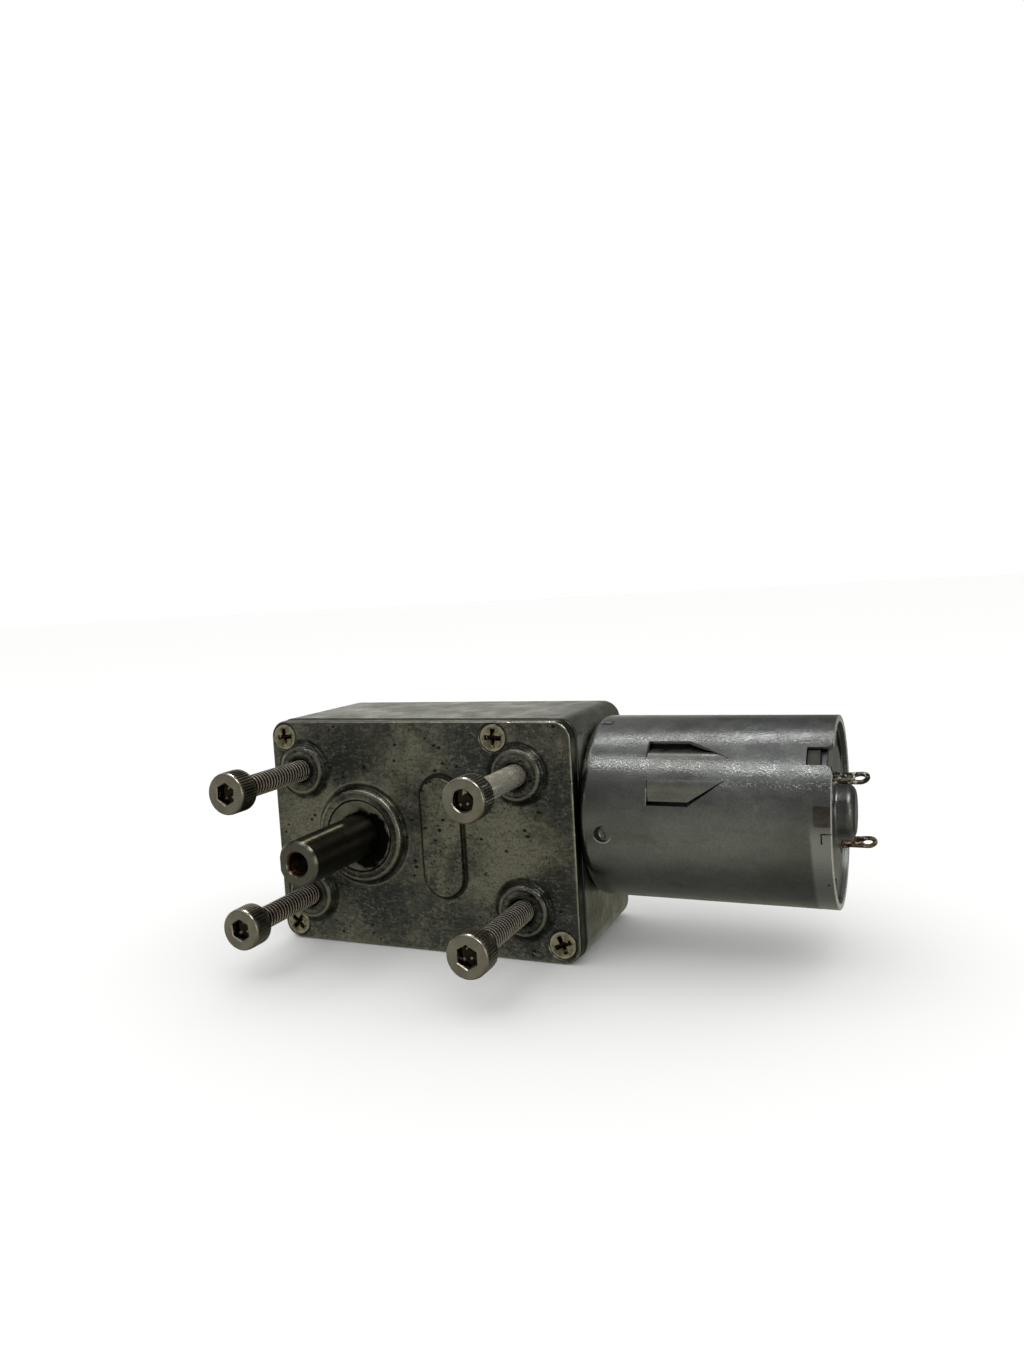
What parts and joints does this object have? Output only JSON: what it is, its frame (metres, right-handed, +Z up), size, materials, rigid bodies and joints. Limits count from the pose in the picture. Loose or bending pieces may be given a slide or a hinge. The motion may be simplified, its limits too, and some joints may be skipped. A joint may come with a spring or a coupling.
{
  "type": "worm gearbox",
  "caption": "Right-angle worm gearbox with a round DC motor on its end, a D-flat output shaft, raised round mounting bosses and part-driven socket head screws.",
  "frame": {"origin": "middle of the whole object's footprint, on the gearbox's lower face that it rests on", "axes": "+X from the gearbox's closed end towards the motor, -Y out of the front cover along the output shaft, +Z up"},
  "size_m": [0.081, 0.0424, 0.032],
  "materials": {
    "cast_zinc": "dull die-cast, lightly stained",
    "cast_zinc_cover": "mottled die-cast with pits and fine scratches",
    "motor_steel": "zinc-plated satin",
    "shaft_steel": "ground and polished",
    "screw_nickel": "nickel plated",
    "screw_nickel_warm": "yellowish nickel plated",
    "sintered_bronze": "oiled sintered metal",
    "gear_brass": "machined",
    "copper_wire": "enamelled",
    "silicon_steel": "stacked laminations",
    "terminal_metal": "stained, partly rusty",
    "ferrite": "matt ceramic",
    "black_plastic": "moulded",
    "white_nylon": "moulded",
    "carbon": "pressed"
  },
  "bodies": {
    "housing": {"axle_spacer_front": "white_nylon", "axle_spacer_rear": "white_nylon", "brush_arm_back": "sintered_bronze", "brush_arm_front": "sintered_bronze", "brush_back": "carbon", "brush_front": "carbon", "brush_holder": "black_plastic", "cap_screw_lower_left": "screw_nickel", "cap_screw_lower_right": "screw_nickel", "cap_screw_upper_left": "screw_nickel", "cap_screw_upper_right": "screw_nickel", "cover_screw_lower_left": "screw_nickel_warm", "cover_screw_lower_right": "screw_nickel_warm", "cover_screw_upper_left": "screw_nickel_warm", "cover_screw_upper_right": "screw_nickel_warm", "front_cover": "cast_zinc_cover", "gearbox_housing": "cast_zinc", "intermediate_axle": "shaft_steel", "magnet_clip": "shaft_steel", "magnet_lower": "ferrite", "magnet_upper": "ferrite", "motor_bearing_front": "sintered_bronze", "motor_bearing_rear": "sintered_bronze", "motor_can": "motor_steel", "motor_end_plate": "motor_steel", "motor_screw_lower": "screw_nickel", "motor_screw_upper": "screw_nickel", "output_bush_front": "sintered_bronze", "output_bush_rear": "sintered_bronze", "output_spacer": "white_nylon", "output_thrust_washer": "screw_nickel", "terminal_back": "terminal_metal", "terminal_front": "terminal_metal"},
    "rotor": {"worm": "gear_brass", "motor_shaft": "shaft_steel", "armature_core": "silicon_steel", "armature_coil_1": "copper_wire", "armature_coil_2": "copper_wire", "armature_coil_3": "copper_wire", "commutator": "copper_wire", "shaft_spacer": "white_nylon"},
    "intermediate": {"drive_pinion": "shaft_steel", "worm_wheel": "gear_brass"},
    "output": {"output_shaft": "shaft_steel", "output_gear": "gear_brass", "output_retaining_clip": "shaft_steel"}
  },
  "joints": [
    {"name": "rotor_spin", "type": "hinge", "parent": "housing", "child": "rotor", "pos_m": [0, 0.009, 0.01865], "axis": [1, 0, 0], "continuous": true},
    {"name": "worm_wheel_spin", "type": "hinge", "parent": "housing", "child": "intermediate", "pos_m": [-0.0135, 0.009, 0.0109], "axis": [0, 1, 0], "continuous": true},
    {"name": "output_spin", "type": "hinge", "parent": "housing", "child": "output", "pos_m": [-0.0261, 0, 0.016], "axis": [0, 1, 0], "continuous": true}
  ],
  "couplings": [
    {"joint": "worm_wheel_spin", "follows": "output_spin", "ratio": -3.5},
    {"joint": "rotor_spin", "follows": "output_spin", "ratio": 77}
  ]
}
